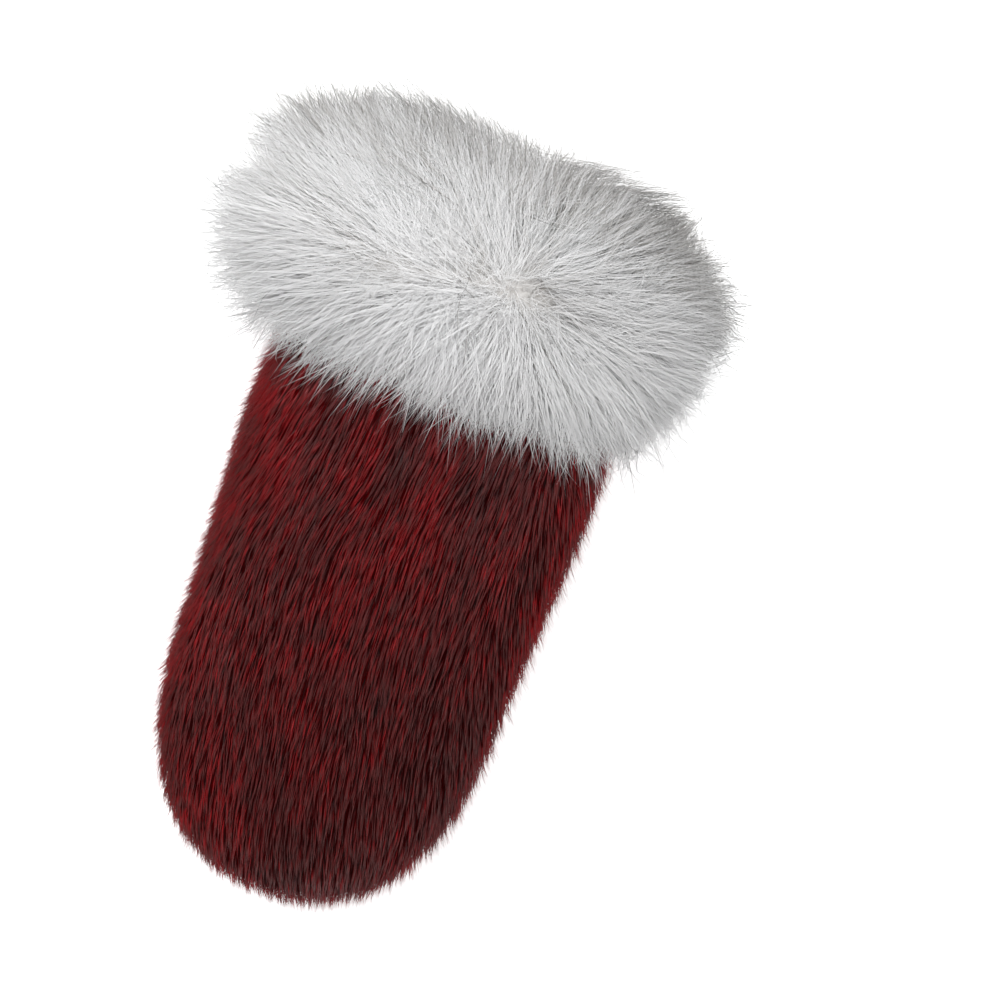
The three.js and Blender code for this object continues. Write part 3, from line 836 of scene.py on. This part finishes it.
def from_parting(points):
    """The way from the nearest place of the parting, seen from above, and how far it is."""
    first, last = PARTING_ENDS
    line = last - first
    share = np.clip((points - first) @ line / (line @ line), 0, 1)
    away = (points - first - share[:, None] * line) * (1, 1, 0)
    return away, np.linalg.norm(away, axis=1, keepdims=True)


def cuff_flow(points):
    """Half from the parting's line and half from its first end, and weaker close to the line, where the hair
    stands. On the left shoulder it falls away from the crest."""
    away, distance = from_parting(points)
    swirl = (points - PARTING_ENDS[0]) * (1, 1.35, 0)
    crest = (points - CREST) * (1, 1, 0)
    near_crest = np.exp(-np.linalg.norm(crest, axis=1, keepdims=True) / (20 * MM))
    flow = unit(away) + unit(swirl) + 0.5 * unit(crest) * near_crest
    unruly = QUICK_DRIFT + UNRULY * np.exp(-distance[:, 0] / (16 * MM))
    for axis in (0, 1):
        turned = SLOW_DRIFT * drift(points, 30 * MM, 81 + axis)
        flow[:, axis] += turned + unruly * drift(points, 13 * MM, 83 + axis)
    return unit(flow) * (0.5 + 0.5 * distance / (distance + 4 * MM))


def in_hollow(roots):
    """From 0 away from the small hollows along the parting to 1 in the middle of one."""
    depth = np.zeros(len(roots))
    for hollow in HOLLOWS:
        across = (roots[:, 0] / MM - hollow["x"]) / hollow["wide"]
        along = (roots[:, 1] / MM - hollow["y"]) / hollow["long"]
        depth = np.maximum(depth, np.exp(-(across ** 2 + along ** 2) / 2))
    return depth * (roots[:, 2] > BELOW_HEIGHT)


def cuff_paths(corners, hair, draw):
    """Curved paths of long hairs from the band to the outer form, gathered in tufts."""
    count, rings = hair["count"], hair["rings"]
    roots, normals = scatter(corners, count, draw)
    leaders = gatherer(roots, TUFT_SHARE, draw)
    crossing = 0.35 * np.clip((roots[:, 1] / MM - 116) / 8, 0, 1)[:, None] * (normals[:, 2:] > 0)
    crossing += 0.12 * np.exp(-(from_parting(roots)[1] / (6 * MM)) ** 2)
    astray = draw.normal(size=(count, 3))[leaders] * TUFT_UNREST
    astray = astray + draw.normal(size=(count, 3)) * (CUFF_UNREST + crossing)
    outward = unit(normals * (0.8, 0.9, 1.0) + 0.5 * astray)
    flow = cuff_flow(roots) + astray * (1, 1, 0.4)
    stretch = (draw.normal(size=count)[leaders] * TUFT_STRETCH + 1)[:, None]
    aim = roots + (outward * OUT_REACH * MM + flow * FLOW_REACH * MM) * stretch
    aim[:, 2] -= DROOP * np.clip(np.linalg.norm((aim - roots)[:, :2], axis=1) / (40 * MM), 0, 1.2) ** 2
    middle, offset = on_outer_form(aim)
    fullness = hair["full"] + draw.normal(size=count)[leaders] * 0.03
    fullness = fullness - np.abs(draw.normal(size=count)) * FULLNESS_UNREST
    fullness -= np.abs(draw.normal(size=count)) * FRONT_THINNING * np.clip(-offset[:, 1] / (40 * MM), 0, 1)
    stray = draw.random(count) < STRAY_SHARE
    fullness += np.where(stray, draw.uniform(*STRAY_REACH, count), 0)
    tips = middle + offset * fullness[:, None]
    bend = BEND_SHARES[0] * (roots + outward * BEND_HEIGHT * MM) + BEND_SHARES[1] * tips
    ways = np.linspace(0, 1, rings)[None, :, None]
    start = roots - normals * MM
    paths = start[:, None] * (1 - ways) ** 2 + 2 * bend[:, None] * ways * (1 - ways)
    paths = paths + tips[:, None] * ways ** 2
    outer = np.clip((TUFTS_BELOW - tips[:, 2]) / (22 * MM), 0, 1)
    pull = (draw.uniform(*TUFT_PULL, count) + outer * draw.uniform(*EDGE_PULL, count)) * ~stray
    paths += (paths[leaders] - paths) * pull[:, None, None] * ways ** 2.2
    fine = gatherer(paths[:, -1], FRINGE_SHARE, draw)
    pull = outer * draw.uniform(*FRINGE_PULL, count) * ~stray
    paths += (paths[fine] - paths) * pull[:, None, None] * ways ** 3
    wave = np.stack([drift(paths.reshape(-1, 3), 18 * MM, seed) for seed in (91, 92, 93)], axis=1)
    paths += wave.reshape(paths.shape) * ways * WAVE_HEIGHT * MM
    return paths, normals, leaders


HAND_GAP = 2.5                 # mm from the skin of the hand to the lowest hair of the cuff over it
MOUTH_RAGGED = 0.12


def clear_of_hand(paths, tree):
    """Moves hair that would sink into the hand out to its surface."""
    flat = paths.reshape(-1, 3)
    for place in np.nonzero(flat[:, 1] < BAND_START + 2 * MM)[0]:
        point = Vector(flat[place])
        spot, normal, _, _ = tree.find_nearest(point)
        if (point - spot).dot(normal) < HAND_GAP * MM and (point - spot).length < 30 * MM:
            flat[place] = spot + normal * HAND_GAP * MM
    return flat.reshape(paths.shape)


def clear_of_mouth(paths, draw):
    """Moves hair that would hang across the wrist opening out past its rim, each by a way of its own."""
    beyond = paths[:, :, 1] > BAND_START + BAND_LENGTH - 1 * MM
    across = paths[:, :, 0] / WRIST_HALF
    upward = (paths[:, :, 2] - WRIST_MIDDLE_Z) / WRIST_HALF_HEIGHT
    size = np.maximum(np.hypot(across, upward), 0.05)
    rim = 1 + draw.uniform(0.0, MOUTH_RAGGED, (len(paths), 1))
    push = np.where(beyond & (size < rim), rim / size, 1.0)
    paths[:, :, 0] *= push
    paths[:, :, 2] = WRIST_MIDDLE_Z + (paths[:, :, 2] - WRIST_MIDDLE_Z) * push
    return paths


def cuff_coat(paths):
    """The normals of the cuff's rounded outer form at each place of its hair."""
    offset = paths - np.array([0, FORM_MIDDLE_Y, OUTER_FORM["middle_z"]])
    return CUFF_COAT * unit(offset / np.array([OUTER_FORM["x"], OUTER_FORM["y"], OUTER_FORM["top"]]) ** 2)


white_hair = strand_material(
    "white_hair",
    {"Dark": (0.07, 0.06, 0.052), "Middle": (0.45, 0.425, 0.395), "Bright": (0.95, 0.95, 0.955),
     "Tip": (0.95, 0.95, 0.955)},
    root_shade=1.0, tip_amount=0.2, roughness=0.75, specular=0.1,
)
# Hair grows only from the outside of the band, and none from its ends or from the inside.
band_corners = outer_triangles(cuff_band, tree_of(cuff_band))
band_middles = band_corners.mean(axis=1)
on_end = np.ptp(band_corners[:, :, 1], axis=1) < SAME_PLACE
facing = np.cross(band_corners[:, 1] - band_corners[:, 0], band_corners[:, 2] - band_corners[:, 0])
outward = (facing * (band_middles - (0, 0, WRIST_MIDDLE_Z)) * (1, 0, 1)).sum(axis=1) > 0
band_corners = band_corners[outward & ~on_end]
band_middles = band_middles[outward & ~on_end]
KEPT_IN_HOLLOW = (0.35, 1.0)   # a hair is left out where the hollow is deeper than its own draw from this

draw = np.random.default_rng(220)
roots, normals = scatter(band_corners, UNDERFUR_HAIR["count"], draw)
kept = in_hollow(roots) < draw.uniform(*KEPT_IN_HOLLOW, len(roots))
roots, normals = roots[kept], normals[kept]
lean = unit(normals + 0.6 * cuff_flow(roots) + draw.normal(size=roots.shape) * 0.22)
shorter = 1 - 0.4 * np.clip((80 - roots[:, 1] / MM) / 12, 0, 1)
tips = roots + lean * (UNDERFUR_HAIR["length"] * MM * shorter * draw.uniform(0.6, 1.15, len(roots)))[:, None]
paths = clear_of_mouth(clear_of_hand(np.stack([roots - normals * MM, tips], axis=1), hand_tree), draw)
paths[:, :, 2] = np.maximum(paths[:, :, 2], draw.uniform(0.3, 2.0, (len(paths), 1)) * MM)
# underfur in the hollows is darkened too, as painted shade
tones = UNDERFUR_HAIR["tone"] + draw.normal(size=len(paths)) * 0.03 - 0.5 * in_hollow(roots)
widths = (UNDERFUR_HAIR["width"] * MM * draw.uniform(0.8, 1.2, len(paths)))[:, None]
cuff_underfur = strand_piece("cuff_underfur", paths, widths, tones, normals, cuff_coat(paths))
cuff_underfur.data.materials.append(white_hair)
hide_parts("fur_cuff")
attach(cuff_underfur, "root")

for order, (name, hair) in enumerate(CUFF_HAIR.items()):
    draw = np.random.default_rng(200 + order)
    here = (band_middles[:, 2] < BELOW_HEIGHT) == ("below" in name)
    here &= (band_middles[:, 0] > hair["from"] * MM) & (band_middles[:, 0] <= hair["to"] * MM)
    here &= band_middles[:, 1] > hair["start"] * MM
    paths, normals, leaders = cuff_paths(band_corners[here], hair, draw)
    paths = clear_of_mouth(clear_of_hand(paths, hand_tree), draw)
    paths[:, :, 2] = np.maximum(paths[:, :, 2], draw.uniform(0.3, 3.0, (len(paths), 1)) * MM)
    paths[:, :, 0] = np.clip(paths[:, :, 0], -SIDE_LIMIT, SIDE_LIMIT)
    paths[:, :, 1] = np.minimum(paths[:, :, 1], REAR_LIMIT)
    kept = in_hollow(paths[:, 0]) < draw.uniform(*KEPT_IN_HOLLOW, len(paths))
    paths, normals = paths[kept], normals[kept]
    roots = paths[:, 0]
    tones = hair["tone"] + draw.normal(size=len(paths)) * CUFF_TONES["hair"]
    tones += (draw.normal(size=len(leaders))[leaders] * CUFF_TONES["tuft"])[kept]
    # hair in the hollows is darkened by painted shade
    tones += CUFF_TONES["drift"] * drift(roots, 20 * MM, 95) - HOLLOW_PAINTED_SHADE * in_hollow(roots)
    rear_start = 114 - 14 * np.clip((roots[:, 0] / MM - 40) / 30, 0, 1)
    rear = np.clip((roots[:, 1] / MM - rear_start) / 6, 0, 1)
    rear *= np.clip((82 - np.abs(roots[:, 0] / MM - 8)) / 12, 0, 1)
    tones -= REAR_DARKER * rear * draw.random(len(paths))
    dark = draw.random(len(paths)) < hair["dark"] + REAR_DARK_SHARE * rear
    tones[dark] = draw.uniform(*DARK_TONES, dark.sum())
    taper = np.interp(np.linspace(0, 1, hair["rings"])[:-1], [0, 0.3, 0.75, 1], [0.8, 1.0, 0.8, 0.3])
    thick = np.where(dark, DARK_WIDTH, hair["width"]) * MM * draw.uniform(0.7, 1.2, len(paths))
    thick *= 1 + FRINGE_THICKER * np.clip((66 - paths[:, -1, 1] / MM) / 12, 0, 1)
    piece = strand_piece(name, paths, thick[:, None] * taper, tones, normals, cuff_coat(paths))
    piece.data.materials.append(white_hair)
    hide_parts("fur_cuff")
    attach(piece, "root")
